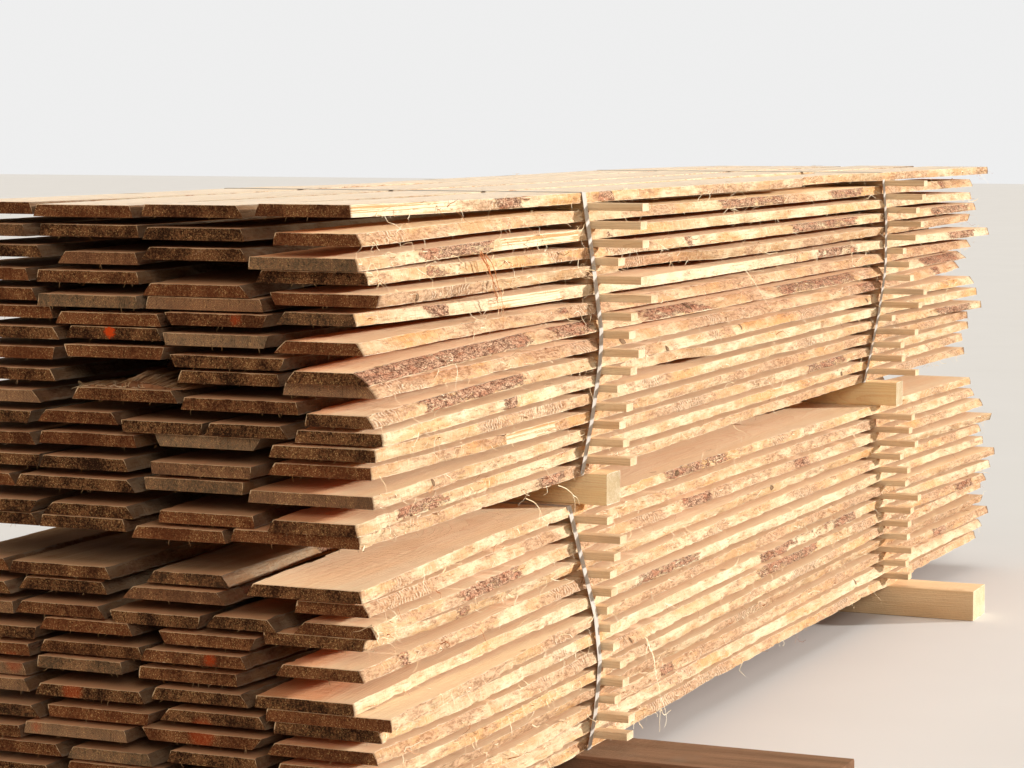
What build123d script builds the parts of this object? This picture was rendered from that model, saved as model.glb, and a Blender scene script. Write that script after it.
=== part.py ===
# Two bundles of waney-edge softwood boards, stacked with stickers for air drying.
# Millimetres. +X runs along the boards from the weathered end, +Y from the right-hand side to the
# left, +Z up. The origin is the middle of the underside of the whole stack.
from build123d import *
import math
import os
import random

# Boards
board_length = 5100
board_thickness = 26
board_gap = 6           # least gap between neighbours of one layer
bent_clearance = 1      # least gap between board ends that bend towards each other
edge_wander = 5         # how far a bark edge swings about its line
taper_share = 0.07      # how much wider or narrower a board may grow along its length
follow_share = 0.75     # how much of its right-hand neighbour's bow a board follows
mid_sag = 3             # most that a board hangs between the sticker lines

# Stickers: the battens between the layers
sticker_thickness = 19
sticker_width = 45
sticker_length = 1200
near_sticker_x = 1307   # near face of each sticker line, from the boards' nominal near end
far_sticker_x = 3911
sticker_skew = 0.4      # degrees either way

# Bearers between the bundles
mid_bearer_height = 80
near_mid_bearer_width = 95
far_mid_bearer_width = 80
near_mid_bearer_x = 1330
far_mid_bearer_x = 3914
mid_bearer_length = 1150
near_mid_bearer_reach = 15  # how far the end stands out past the boards' right-hand line
far_mid_bearer_reach = 55

# Bearers on the ground: the near one is an old, wide beam
ground_bearer_height = 100
near_ground_bearer_width = 245
far_ground_bearer_width = 165
near_ground_bearer_x = 1210
far_ground_bearer_x = 3925
near_ground_bearer_length = 2300
far_ground_bearer_length = 1700
ground_bearer_chamfer = 6

# Straps: two round the upper bundle and one round the near end of the lower
strap_width = 25
strap_thickness = 1
strap_clearance = 0.3
strap_to_sticker = 6    # clear space between a strap and the sticker line beside it
groove_clearance = 0.5  # round the strap, where it is pressed into the near ground bearer

bundle_width = 1050     # nominal, from the right-hand line of the boards
seed = 27

# Each row is a layer, from the top down, and each entry a board from the right-hand side:
# (width, gap before it, lift of its near end), all in mm. The first gap is the distance from
# the right-hand line to the board, so that a negative one stands out past that line.
upper_rows = [
    [(225, 25, 8), (245, 30, 3), (245, 15, 0), (235, 10, 4)],
    [(210, 0, -6), (250, 68, 0), (250, 6, 3), (245, 15, 2)],
    [(255, 5, -11), (255, 9, 3), (200, 6, -10), (270, 25, 3)],
    [(262, -5, 5), (255, 6, -28), (255, 6, -5), (250, 7, -2)],
    [(258, -28, 5), (278, 6, -11), (250, 6, -10), (255, 6, 0)],
    [(190, 22, 10), (250, 8, 3), (262, 10, -3), (265, 6, 7)],
    [(210, 0, -4), (252, 11, 5), (240, 6, 12), (280, 6, 8)],
    [(190, -16, -20), (275, 8, 4), (245, 6, 18), (280, 27, 9)],
    [(218, -28, -1), (242, 7, 15), (245, 8, 0), (285, 50, 7)],
    [(167, -28, -16), (284, 6, 5), (260, 6, 17), (240, 70, 6)],
    [(202, -42, -8), (200, 6, -1), (204, 7, -5), (205, 7, 9), (215, 7, 5)],
    [(246, -26, 5), (254, 28, 14), (244, 34, 8), (230, 10, 3)],
    [(245, -10, 10), (242, 26, 0), (222, 49, 2), (230, 18, 0)],
    [(297, -17, -5), (242, 7, 10), (305, 7, 3), (195, 7, 0)],
    [(206, 11, -17), (239, 47, -15), (230, 45, -14), (250, 7, -9)],
    [(306, 11, 2), (230, 7, -5), (217, 7, 7), (260, 6, 6)],
]
lower_rows = [
    [(268, 3, -3), (208, 52, 5), (257, 70, 8), (190, 10, 8)],
    [(180, -4, 10), (125, 12, 4), (250, 12, 16), (224, 47, 17), (190, 7, 6)],
    [(192, -26, 12), (171, 38, 8), (222, 12, 5), (232, 7, 11), (190, 8, 5)],
    [(242, 0, 30), (235, 15, 14), (232, 57, 24), (250, 14, -10)],
    [(212, 2, 10), (257, 57, 19), (258, 6, 16), (240, 22, 5)],
    [(240, 32, -22), (246, 33, 22), (215, 33, 28), (225, 28, 4)],
    [(300, -60, -6), (238, 38, 25), (279, 7, 14), (205, 9, 18)],
    [(258, -30, 20), (255, 16, 25), (262, 21, 10), (250, 7, 5)],
    [(261, -30, 20), (296, 13, 25), (262, 28, 17), (225, 8, 4)],
    [(248, -29, 22), (220, 30, 28), (215, 42, 10), (240, 7, 13)],
    [(228, -20, 12), (262, 18, 15), (240, 12, 22), (255, 24, 8)],
    [(252, -12, 8), (236, 22, 18), (268, 15, 12), (222, 10, 4)],
    [(236, 6, 14), (244, 12, 6), (250, 26, 10), (248, 14, 12)],
    [(264, 18, 4), (230, 16, 8), (246, 12, 0), (238, 18, 6)],
]

# Where each layer's right-hand edge lies at the near sticker line, at the far one and at the far
# end, from the right-hand line of the boards: positive is inwards, negative stands out past it
upper_right_edges = [
    (32, -5, -85), (26, -8, -17), (18, -12, -18), (12, -17, -28), (5, -20, -10), (0, -18, -82),
    (-5, -16, -18), (-12, -10, 0), (-12, -3, 26), (-8, 2, -30), (-2, 6, -48), (6, 15, -50),
    (14, 25, -8), (23, 33, -10), (32, 42, 12), (40, 53, 10),
]
lower_right_edges = [
    (71, 14, -20), (60, 8, -38), (50, 4, -75), (38, 0, -100), (25, -5, -70), (12, -10, -72),
    (0, -14, -115), (-8, -17, -112), (-13, -20, -92), (-14, -23, -60), (-11, -25, -75),
    (-5, -26, -100), (6, -26, -85), (18, -25, -60),
]

# How far each sticker stands out past the right-hand line, from the top down
upper_near_reaches = [114, 110, 116, 53, 114, 138, 87, 82, 108, 86, 50, 77, 56, 66, 85]
upper_far_reaches = [141, 136, 114, 131, 114, 72, 93, 97, 145, 128, 38, 117, 69, 74, 121]
lower_near_reaches = [24, 61, 45, 34, 37, 26, 34, 44, 61, 69, 48, 85, 82]
lower_far_reaches = [110, 100, 121, 72, 97, 90, 134, 110, 103, 98, 114, 96, 104]

# How far the bark edge of each layer's right-hand board slopes in. A negative one slopes in
# downwards, on a board that lies with its wide face up.
upper_right_wane = [2, 13, 6, 9, -9, 7, 17, 36, 22, 17, 4, 3, 2, 3, 5, 2]
lower_right_wane = [5, 14, 13, -8, 12, 2, 3, 8, 12, 5, -10, 6, 14, 8]

# Boards whose near end is set back from the others: (bundle, layer, board) and how far
set_back = {("upper", 9, 3): 380, ("lower", 2, 2): 260, ("lower", 12, 1): 90}

# Log that a board was sawn from: the further the cut from the pith, the steeper its bark edges
log_radius = 150
deepest_cut = 100

layer_pitch = board_thickness + sticker_thickness
near_flat_start = min(near_sticker_x, near_mid_bearer_x, near_ground_bearer_x) - sticker_width
near_flat_end = max(near_sticker_x + 2 * sticker_width,
                    near_mid_bearer_x + near_mid_bearer_width,
                    near_ground_bearer_x + near_ground_bearer_width)
far_flat_start = min(far_sticker_x, far_mid_bearer_x, far_ground_bearer_x) - sticker_width
far_flat_end = max(far_sticker_x + 2 * sticker_width,
                   far_mid_bearer_x + far_mid_bearer_width,
                   far_ground_bearer_x + far_ground_bearer_width)
strap_offset = strap_to_sticker + strap_width
near_strap_x = near_sticker_x - strap_offset
far_strap_x = far_sticker_x - strap_offset


def bundle_height(rows):
    """Height of a bundle from the underside of its lowest board to the top of its highest."""
    return len(rows) * layer_pitch - sticker_thickness


class Board:
    """One board: a slice of a log with a bark edge on each side, bent as it lies."""

    def __init__(self, chance, width, gap, lift):
        self.width = width
        self.gap = gap
        self.near_lift = lift
        self.far_lift = chance.uniform(-8, 8)
        self.sag = chance.uniform(0, mid_sag)
        self.growth = chance.uniform(-taper_share, taper_share)
        self.near_x = chance.uniform(-14, 14)
        self.far_x = board_length + chance.uniform(-30, 30)
        self.bark_up = chance.random() < 0.8
        cut = chance.uniform(0.1, 1) * deepest_cut
        inner = math.sqrt(log_radius**2 - cut**2)
        outer = math.sqrt(log_radius**2 - (cut + board_thickness) ** 2)
        self.right_wane = (inner - outer) * chance.uniform(0.5, 1)
        self.left_wane = (inner - outer) * chance.uniform(0.5, 1)
        self.phases = [chance.uniform(0, math.tau) for _ in range(4)]

    def wave(self, x, first):
        """Natural swing of an edge about its line."""
        slow = math.sin(math.tau * x / 2900 + self.phases[first])
        quick = math.sin(math.tau * x / 1300 + self.phases[first + 1])
        return edge_wander * (0.65 * slow + 0.35 * quick)

    def width_at(self, x):
        share = x / board_length
        return self.width * (1 + self.growth * share) - self.wave(x, 0)

    def rise(self, x):
        """Height above the flat lie of the board: bent ends, and a slight sag between."""
        if x < near_flat_start:
            return self.near_lift * ((near_flat_start - x) / near_flat_start) ** 2
        if x > far_flat_end:
            overhang = board_length - far_flat_end
            return self.far_lift * ((x - far_flat_end) / overhang) ** 2
        if near_flat_end < x < far_flat_start:
            share = (x - near_flat_end) / (far_flat_start - near_flat_end)
            return -4 * self.sag * share * (1 - share)
        return 0


class Layer:
    """The boards of one layer, laid side by side from the right-hand line."""

    def __init__(self, chance, row, right_edges, right_wane, bottom):
        self.bottom = bottom
        self.line = [row[0][1], *right_edges]
        self.boards = [Board(chance, *entry) for entry in row]
        self.boards[0].right_wane = abs(right_wane)
        self.boards[0].bark_up = right_wane > 0
        self.starts = []
        y = 0
        for board in self.boards:
            self.starts.append(y + board.gap)
            y = self.starts[-1] + board.width

    def right_line(self, x):
        """The layer's right-hand edge: a smooth curve through its four known places."""
        places = [0, near_sticker_x, far_sticker_x, board_length]
        slopes = [
            (self.line[k + 1] - self.line[k]) / (places[k + 1] - places[k]) for k in range(3)
        ]
        tangents = [slopes[0], (slopes[0] + slopes[1]) / 2, (slopes[1] + slopes[2]) / 2, slopes[2]]
        k = 0 if x < places[1] else 1 if x < places[2] else 2
        run = places[k + 1] - places[k]
        t = (x - places[k]) / run
        return (
            (2 * t**3 - 3 * t**2 + 1) * self.line[k]
            + (t**3 - 2 * t**2 + t) * run * tangents[k]
            + (3 * t**2 - 2 * t**3) * self.line[k + 1]
            + (t**3 - t**2) * run * tangents[k + 1]
        )

    def edges(self, x):
        """Right and left edge of each board at a station along the stack."""
        found = []
        shift = self.right_line(x) - self.line[0]
        for index, board in enumerate(self.boards):
            right = self.starts[index] + shift * follow_share**index + board.wave(x, 2)
            if index > 0:
                right = max(right, found[-1][1] + board_gap)
            found.append((right, right + board.width_at(x)))
        return found

    def section(self, index, x):
        """The four corners of a board's cross-section at a station."""
        board = self.boards[index]
        right, left = self.edges(x)[index]
        low = self.bottom + board.rise(x)
        high = low + board_thickness
        if board.bark_up:
            narrow, wide = high, low
        else:
            narrow, wide = low, high
        return [
            (x, right, wide),
            (x, left, wide),
            (x, left - board.left_wane, narrow),
            (x, right + board.right_wane, narrow),
        ]

    def stations(self, index):
        """Where a board's cross-section is given along its length."""
        board = self.boards[index]
        near_run = near_flat_start - board.near_x
        span = far_flat_start - near_flat_end
        return [
            board.near_x,
            board.near_x + 0.4 * near_run,
            board.near_x + 0.75 * near_run,
            near_flat_start,
            near_flat_end,
            near_flat_end + span / 3,
            near_flat_end + span * 2 / 3,
            far_flat_start,
            far_flat_end,
            (far_flat_end + board.far_x) / 2,
            board.far_x,
        ]

    def solid(self, index):
        """One board as a ruled loft through its stations."""
        faces = [
            make_face(Polyline(*self.section(index, x), close=True))
            for x in self.stations(index)
        ]
        return loft(faces, ruled=True)


def overlap(layer, index, other, other_index, x):
    """Whether two boards of different layers lie over each other at a station."""
    right, left = layer.edges(x)[index]
    other_right, other_left = other.edges(x)[other_index]
    return right < other_left and other_right < left


def settle(layers):
    """Lift each bent end, from the bottom layer up, so that it lies clear of those below it."""
    most_closed = sticker_thickness - bent_clearance
    for layer, below in reversed(list(zip(layers, layers[1:]))):
        for index, board in enumerate(layer.boards):
            for under_index, under in enumerate(below.boards):
                if overlap(layer, index, below, under_index, 0):
                    board.near_lift = max(board.near_lift, under.near_lift - most_closed)
                if overlap(layer, index, below, under_index, board_length):
                    board.far_lift = max(board.far_lift, under.far_lift - most_closed)


def make_layers(name, rows, right_edges, wanes, bottom, chance):
    """All layers of a bundle, from the top down."""
    top = bottom + bundle_height(rows) - board_thickness
    layers = [
        Layer(chance, row, edges, wane, top - number * layer_pitch)
        for number, (row, edges, wane) in enumerate(zip(rows, right_edges, wanes))
    ]
    for (bundle, layer_number, board_number), distance in set_back.items():
        if bundle == name:
            layers[layer_number - 1].boards[board_number - 1].near_x += distance
    # The top boards lie level at their far end, so that forks can go in above them.
    for board in layers[0].boards:
        board.far_lift = min(board.far_lift, 0)
    settle(layers)
    return layers


def make_stickers(layers, x, reaches, chance):
    """The stickers of one line, one under each layer but the lowest."""
    solids = []
    for layer, reach in zip(layers[:-1], reaches):
        skew = chance.uniform(-sticker_skew, sticker_skew)
        middle = sticker_length / 2 - reach
        batten = Box(sticker_width, sticker_length, sticker_thickness)
        z = layer.bottom - sticker_thickness / 2
        solids.append(Pos(x + sticker_width / 2, middle, z) * Rot(0, 0, skew) * batten)
    return solids


def hull(points):
    """Corners of the convex outline round a set of points, anticlockwise."""
    def turn(a, b, c):
        return (b[0] - a[0]) * (c[1] - a[1]) - (b[1] - a[1]) * (c[0] - a[0])

    ordered = sorted(set(points))
    outline = []
    for run in (ordered, ordered[::-1]):
        half = []
        for point in run:
            while len(half) > 1 and turn(half[-2], half[-1], point) <= 0:
                half.pop()
            half.append(point)
        outline += half[:-1]
    return outline


def strapped_corners(layer, index, start_x):
    """Corners of a board under a strap, where it runs straight over its sticker."""
    if start_x < near_flat_end:
        zone = (near_flat_start, near_flat_end)
    else:
        zone = (far_flat_start, far_flat_end)
    before, after = (layer.section(index, x) for x in zone)
    corners = []
    for x in (start_x, start_x + strap_width):
        share = (x - zone[0]) / (zone[1] - zone[0])
        for (_, y0, z0), (_, y1, z1) in zip(before, after):
            corners.append((y0 + (y1 - y0) * share, z0 + (z1 - z0) * share))
    return corners


def bundle_outline(layers, start_x, spacing):
    """The tight outline round a bundle's boards under a strap, moved outwards by a spacing."""
    corners = []
    for layer in layers:
        for index in range(len(layer.boards)):
            corners += strapped_corners(layer, index, start_x)
    middle = start_x + strap_width / 2
    face = make_face(Polyline(*[(middle, y, z) for y, z in hull(corners)], close=True))
    return offset(face, amount=spacing)


def make_strap(layers, start_x):
    """A flat strap pulled tight round a bundle."""
    outer = bundle_outline(layers, start_x, strap_clearance + strap_thickness)
    inner = bundle_outline(layers, start_x, strap_clearance)
    return extrude(outer - inner, amount=strap_width / 2, both=True)


def make_bearer(x, width, height, length, reach, bottom, chamfer_size=0):
    """A squared timber laid across, whose right-hand end stands out by its reach."""
    beam = Pos(x + width / 2, length / 2 - reach, bottom + height / 2) * Box(width, length, height)
    if chamfer_size:
        beam = chamfer(beam.edges().filter_by(Axis.Y), chamfer_size)
    return beam


def build():
    """Every node of the stack, by name, in the boards' own frame."""
    chance = random.Random(seed)
    lower_bottom = ground_bearer_height
    upper_bottom = lower_bottom + bundle_height(lower_rows) + mid_bearer_height
    upper = make_layers(
        "upper", upper_rows, upper_right_edges, upper_right_wane, upper_bottom, chance)
    lower = make_layers(
        "lower", lower_rows, lower_right_edges, lower_right_wane, lower_bottom, chance)

    nodes = {}
    for name, layers, near_reaches, far_reaches in (
        ("upper", upper, upper_near_reaches, upper_far_reaches),
        ("lower", lower, lower_near_reaches, lower_far_reaches),
    ):
        for number, layer in enumerate(layers, start=1):
            nodes[f"{name}_layer_{number:02d}"] = [
                layer.solid(index) for index in range(len(layer.boards))
            ]
        nodes[f"{name}_stickers_near"] = make_stickers(layers, near_sticker_x, near_reaches, chance)
        nodes[f"{name}_stickers_far"] = make_stickers(layers, far_sticker_x, far_reaches, chance)
        nodes[f"{name}_strap_near"] = [make_strap(layers, near_strap_x)]
    nodes["upper_strap_far"] = [make_strap(upper, far_strap_x)]

    mid_bottom = upper_bottom - mid_bearer_height
    nodes["mid_bearer_near"] = [make_bearer(
        near_mid_bearer_x, near_mid_bearer_width, mid_bearer_height,
        mid_bearer_length, near_mid_bearer_reach, mid_bottom)]
    nodes["mid_bearer_far"] = [make_bearer(
        far_mid_bearer_x, far_mid_bearer_width, mid_bearer_height,
        mid_bearer_length, far_mid_bearer_reach, mid_bottom)]

    near_reach = (near_ground_bearer_length - bundle_width) / 2
    far_reach = (far_ground_bearer_length - bundle_width) / 2
    old_beam = make_bearer(
        near_ground_bearer_x, near_ground_bearer_width, ground_bearer_height,
        near_ground_bearer_length, near_reach, 0, ground_bearer_chamfer)
    pressed = bundle_outline(
        lower, near_strap_x, strap_clearance + strap_thickness + groove_clearance)
    groove = extrude(pressed, amount=strap_width / 2 + groove_clearance, both=True)
    nodes["ground_bearer_near"] = [old_beam - groove]
    nodes["ground_bearer_far"] = [make_bearer(
        far_ground_bearer_x, far_ground_bearer_width, ground_bearer_height,
        far_ground_bearer_length, far_reach, 0)]
    return nodes


nodes = build()
everything = Compound([solid for solids in nodes.values() for solid in solids])
extent = everything.bounding_box()
to_origin = Pos(-extent.center().X, -extent.center().Y, -extent.min.Z)

os.makedirs("parts", exist_ok=True)
for name, solids in nodes.items():
    placed = [to_origin * solid for solid in solids]
    shape = placed[0] if len(placed) == 1 else Compound(placed)
    export_step(shape, f"parts/{name}.step")
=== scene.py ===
# The looks of a stickered stack of waney-edge boards, built round its CAD frame. Metres.
# +X runs along the boards to the far end, +Y to the left-hand side, +Z up.
import math
from typing import NamedTuple
import bpy
import numpy as np
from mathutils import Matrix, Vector


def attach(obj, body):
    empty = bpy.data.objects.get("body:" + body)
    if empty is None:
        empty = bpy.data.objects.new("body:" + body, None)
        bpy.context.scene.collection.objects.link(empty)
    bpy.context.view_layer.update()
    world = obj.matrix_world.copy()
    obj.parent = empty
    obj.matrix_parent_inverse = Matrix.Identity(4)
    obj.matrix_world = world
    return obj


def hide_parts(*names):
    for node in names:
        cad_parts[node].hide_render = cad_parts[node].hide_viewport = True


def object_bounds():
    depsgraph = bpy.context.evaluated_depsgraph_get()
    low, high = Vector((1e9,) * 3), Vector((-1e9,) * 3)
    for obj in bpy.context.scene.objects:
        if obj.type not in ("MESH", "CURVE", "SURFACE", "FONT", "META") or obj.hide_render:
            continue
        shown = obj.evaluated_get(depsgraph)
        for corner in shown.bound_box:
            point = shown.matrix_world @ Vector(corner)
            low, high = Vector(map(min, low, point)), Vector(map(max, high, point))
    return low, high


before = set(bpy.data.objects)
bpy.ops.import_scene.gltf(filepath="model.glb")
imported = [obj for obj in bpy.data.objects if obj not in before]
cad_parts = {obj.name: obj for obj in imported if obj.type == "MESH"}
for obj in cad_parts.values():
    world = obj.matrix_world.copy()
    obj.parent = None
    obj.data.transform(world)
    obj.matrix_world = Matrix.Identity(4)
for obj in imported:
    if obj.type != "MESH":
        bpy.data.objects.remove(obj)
cad_bounds = np.array(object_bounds())

BOARD_END = -2.5581         # nominal near end of the boards
THICK = 0.026               # a board's thickness
MESH_THICK = 0.02598        # the same in the mesh, which stays inside its solid
FADE = 0.02                 # edges calm down over this length before an end
SUN_REACH = 0.085           # how far in under the next board the sun reaches; deeper in, the face gets painted shade
NO_SUN = -0.05              # the same for boards that the sun doesn't reach at all
ALL_OPEN = 5.0              # the same for a top layer: wider than any board
SMOOTH_ANGLE = math.radians(40)
CLEARANCE = 0.0004          # fibres stay this far inside the solids' box

# Camera: the photograph's place, direction and lens
CAMERA_PLACE = (-7.5747, -2.9893, 1.680)
CAMERA_YAW = 23.09
CAMERA_PITCH = -5.57
FOCAL_LENGTH = 96.71


# Noise that stays the same from run to run

def ease(t):
    return t * t * (3 - 2 * t)


def ramp(value, low, high):
    return ease(np.clip((value - low) / (high - low), 0, 1))


def cells(rng, x, scale):
    """Which cell of a noise each place along a line is in, and how far through the cell."""
    u = x / scale + rng.uniform(0, 1)
    k = np.floor(u).astype(int) - math.floor(u.min())
    return k, ease(u - np.floor(u))


def line_noise(rng, x, scale):
    """Smooth noise between -1 and 1 along a line."""
    k, f = cells(rng, x, scale)
    lattice = rng.uniform(-1, 1, k.max() + 2)
    return lattice[k] * (1 - f) + lattice[k + 1] * f


def sheet_noise(rng, x, t, scale, rows):
    """Smooth noise between -1 and 1 over a strip: x along it, t from 0 to 1 across it."""
    k, f = cells(rng, x, scale)
    v = np.clip(t, 0, 1) * rows
    m = np.minimum(np.floor(v).astype(int), rows - 1)
    g = ease(v - m)[None, :]
    lattice = rng.uniform(-1, 1, (k.max() + 2, rows + 1))
    lattice = lattice[:, m] * (1 - g) + lattice[:, m + 1] * g
    return lattice[k] * (1 - f[:, None]) + lattice[k + 1] * f[:, None]


def waves(rng, x, table):
    """Noise along a line made of heights and wavelengths."""
    return sum(height * line_noise(rng, x, length) for height, length in table)


def smooth_interp(x, xs, ys):
    """Cubic interpolation that never swings past the given values."""
    h = np.diff(xs)
    slope = np.diff(ys) / h
    tangent = np.zeros(len(xs))
    for i in range(1, len(xs) - 1):
        if slope[i - 1] * slope[i] > 0:
            w1 = 2 * h[i] + h[i - 1]
            w2 = h[i] + 2 * h[i - 1]
            tangent[i] = (w1 + w2) / (w1 / slope[i - 1] + w2 / slope[i])
    tangent[0] = slope[0]
    tangent[-1] = slope[-1]
    k = np.clip(np.searchsorted(xs, x) - 1, 0, len(h) - 1)
    t = (x - xs[k]) / h[k]
    t2 = t * t
    t3 = t2 * t
    return ((2 * t3 - 3 * t2 + 1) * ys[k] + (t3 - 2 * t2 + t) * h[k] * tangent[k]
            + (3 * t2 - 2 * t3) * ys[k + 1] + (t3 - t2) * h[k] * tangent[k + 1])


# Reading the pieces of a CAD node

def loose_parts(node):
    """Corner points of each separate solid of a node, as arrays."""
    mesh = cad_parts[node].data
    co = np.zeros(len(mesh.vertices) * 3)
    mesh.vertices.foreach_get("co", co)
    keys = np.round(co.reshape(-1, 3) * 1e5).astype(np.int64)
    unique, index = np.unique(keys, axis=0, return_inverse=True)
    edges = np.zeros(len(mesh.edges) * 2, int)
    mesh.edges.foreach_get("vertices", edges)
    edges = index.reshape(-1)[edges].reshape(-1, 2)
    label = np.arange(len(unique))
    while True:
        low = np.minimum(label[edges[:, 0]], label[edges[:, 1]])
        fresh = label.copy()
        np.minimum.at(fresh, edges[:, 0], low)
        np.minimum.at(fresh, edges[:, 1], low)
        fresh = fresh[fresh]
        if (fresh == label).all():
            break
        label = fresh
    points = unique / 1e5
    return [points[label == part] for part in np.unique(label)]


def board_stations(points):
    """Stations of a board: x, low face right and left, high face right and left, height."""
    rows = []
    order = points[np.argsort(points[:, 0], kind="stable")]
    start = 0
    for i in range(1, len(order) + 1):
        if i == len(order) or order[i, 0] - order[start, 0] > 2e-4:
            group = order[start:i]
            if len(group) >= 4:
                group = group[np.argsort(group[:, 2], kind="stable")]
                low = group[:2]
                high = group[-2:]
                rows.append((group[0, 0], low[:, 1].min(), low[:, 1].max(),
                             high[:, 1].min(), high[:, 1].max(), low[0, 2]))
            start = i
    return np.array(rows)


# Meshes

def add_object(name, data):
    added = bpy.data.objects.new(name, data)
    bpy.context.scene.collection.objects.link(added)
    return added


class Builder:
    """Gathers vertices, faces and attributes, and makes one mesh object of them."""

    def __init__(self):
        self.verts = []
        self.faces = []
        self.kinds = []
        self.attributes = {}
        self.count = 0

    def add(self, verts, faces, kinds, **attributes):
        """Adds a part; a single attribute holds for all of it, and one not given is zero."""
        n = len(verts)
        for name, value in attributes.items():
            value = np.asarray(value, float)
            if value.shape in ((), (3,)):
                value = np.broadcast_to(value, (n, *value.shape))
            if name not in self.attributes:
                self.attributes[name] = [np.zeros((self.count, *value.shape[1:]))]
            self.attributes[name].append(value)
        for name, values in self.attributes.items():
            if name not in attributes:
                values.append(np.zeros((n, *values[0].shape[1:])))
        self.verts.append(np.asarray(verts, float))
        for face in faces:
            self.faces.append(np.asarray(face) + self.count)
        self.kinds.append(np.asarray(kinds))
        self.count += n

    def make(self, name, materials):
        verts = np.concatenate(self.verts)
        mesh = bpy.data.meshes.new(name)
        mesh.vertices.add(len(verts))
        mesh.vertices.foreach_set("co", verts.ravel())
        sizes = np.concatenate([np.full(len(f), f.shape[1]) for f in self.faces])
        loops = np.concatenate([f.ravel() for f in self.faces])
        starts = np.concatenate([[0], np.cumsum(sizes)[:-1]])
        mesh.loops.add(len(loops))
        mesh.loops.foreach_set("vertex_index", loops)
        mesh.polygons.add(len(sizes))
        mesh.polygons.foreach_set("loop_start", starts)
        mesh.polygons.foreach_set("material_index", np.concatenate(self.kinds))
        for material in materials:
            mesh.materials.append(material)
        for key, values in self.attributes.items():
            data = np.concatenate(values)
            kind, field = ("FLOAT_VECTOR", "vector") if data.ndim == 2 else ("FLOAT", "value")
            mesh.attributes.new(key, kind, "POINT").data.foreach_set(field, data.ravel())
        mesh.update(calc_edges=True)
        mesh.validate()
        mesh.shade_smooth()
        mesh.set_sharp_from_angle(angle=SMOOTH_ANGLE)
        return add_object(name, mesh)


SAWN, BARK_EDGE, END, FIBRE, INNER_SAWN = 0, 1, 2, 3, 4


def ring_quads(stations, ring):
    """Quads of a closed tube, by station and then by point of the ring."""
    i = np.arange(stations - 1)[:, None] * ring
    j = np.arange(ring)[None, :]
    k = (j + 1) % ring
    return np.stack([i + j, i + k, i + ring + k, i + ring + j], -1).reshape(-1, 4)


def close_ends(verts, ring, axis, sink, shrink, turned, low_rim):
    """Closes both ends of a tube with a narrow rim and a flat face, sunk a little.

    Gives all vertices, the new faces, and each vertex's share in the pale rim, which is
    low_rim on the lower half. The faces of the end on the turned side run the other way.
    """
    rim = np.zeros(len(verts) + 2 * ring)
    faces = []
    for station, side in ((0, -1), (len(verts) // ring - 1, 1)):
        outer = station * ring + np.arange(ring)
        inner = len(verts) + np.arange(ring)
        loop = verts[outer]
        middle = loop.mean(0)
        flat = middle + (loop - middle) * shrink(loop)
        flat[:, axis] -= side * sink
        verts = np.concatenate([verts, flat])
        rim[outer] = np.where(loop[:, 2] > middle[2], 1, low_rim)
        band = np.stack([outer, np.roll(outer, -1), np.roll(inner, -1), inner], -1)
        if side == turned:
            faces += [band[:, [1, 0, 3, 2]], inner[None, ::-1]]
        else:
            faces += [band, inner[None, :]]
    return verts, faces, rim


class BoardStyle(NamedTuple):
    """How finely a board is built: steps along it near its near end and beyond, parts across."""
    fine_length: float
    fine_step: float
    step: float
    face_parts: int
    right_parts: int
    left_parts: int

    def places(self, first, last):
        """Where the board's stations stand along it."""
        middle = first + self.fine_length
        fine = np.linspace(first, middle, int(self.fine_length / self.fine_step) + 1)
        rest = np.linspace(middle, last, int((last - middle) / self.step) + 1)
        return np.concatenate([fine, rest[1:]])


RIGHT_STYLE = BoardStyle(1.5, 0.009, 0.014, 2, 9, 2)
LEFT_STYLE = BoardStyle(0.3, 0.015, 0.024, 2, 2, 6)
INNER_STYLE = BoardStyle(0.3, 0.015, 0.1, 2, 3, 2)

# Layers are named from the top down: U1 is the upper bundle's first, L1 the lower's.
# Stretches of thick bark left on the right-hand edges, in metres from the near end, and how
# closely the bark covers them: from, to and cover
BARK_RUNS = {
    "U1": [(0.72, 0.90, 0.7)],
    "U2": [(2.3, 2.9, 0.6), (3.3, 3.7, 0.6)],
    "U3": [(0.30, 0.70, 0.66)],
    "U4": [(0.29, 0.57, 0.4), (2.9, 3.6, 0.65), (4.5, 5.0, 0.8)],
    "U6": [(3.2, 3.6, 0.6), (4.6, 4.9, 0.8)],
    "U8": [(0.0, 0.87, 1.0), (1.03, 1.28, 0.7), (1.65, 2.15, 0.6), (2.8, 3.6, 0.62),
           (4.5, 5.0, 0.9)],
    "U10": [(0.24, 0.84, 0.7)],
    "U12": [(4.6, 5.0, 0.8)],
    "U14": [(3.2, 3.6, 0.6)],
    "U15": [(0.20, 0.44, 0.6)],
    "U16": [(1.0, 1.17, 0.8)],
    "L1": [(2.0, 2.5, 0.6)],
    "L3": [(0.5, 0.9, 0.7)],
    "L6": [(1.6, 2.1, 0.6)],
    "L9": [(2.6, 3.2, 0.65)],
}

# Stretches of the right-hand edges that the saw left square and clean, in the same way
CLEAN_RUNS = {
    "U1": [(-0.1, 0.52)],
    "U3": [(0.74, 1.22)],
    "U6": [(0.66, 1.08)],
    "U13": [(0.75, 1.05)],
}

# Heights and wavelengths: of a bark edge as a whole, of its arrises, and of its surface,
# where the third number is how many cells there are across the edge
EDGE_WAVES = ((0.0022, 0.17), (0.0014, 0.06))
ARRIS_WAVES = ((0.0032, 0.22), (0.0020, 0.08), (0.0010, 0.02))
RELIEF = ((0.0021, 0.075, 2), (0.0016, 0.030, 3), (0.0013, 0.018, 5))
ARRIS_INSET = 0.002
NICK_DEPTH = 0.006
KNOT_HEIGHT = 0.0042
KNOTS_ON_EDGE = 0.7
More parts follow.
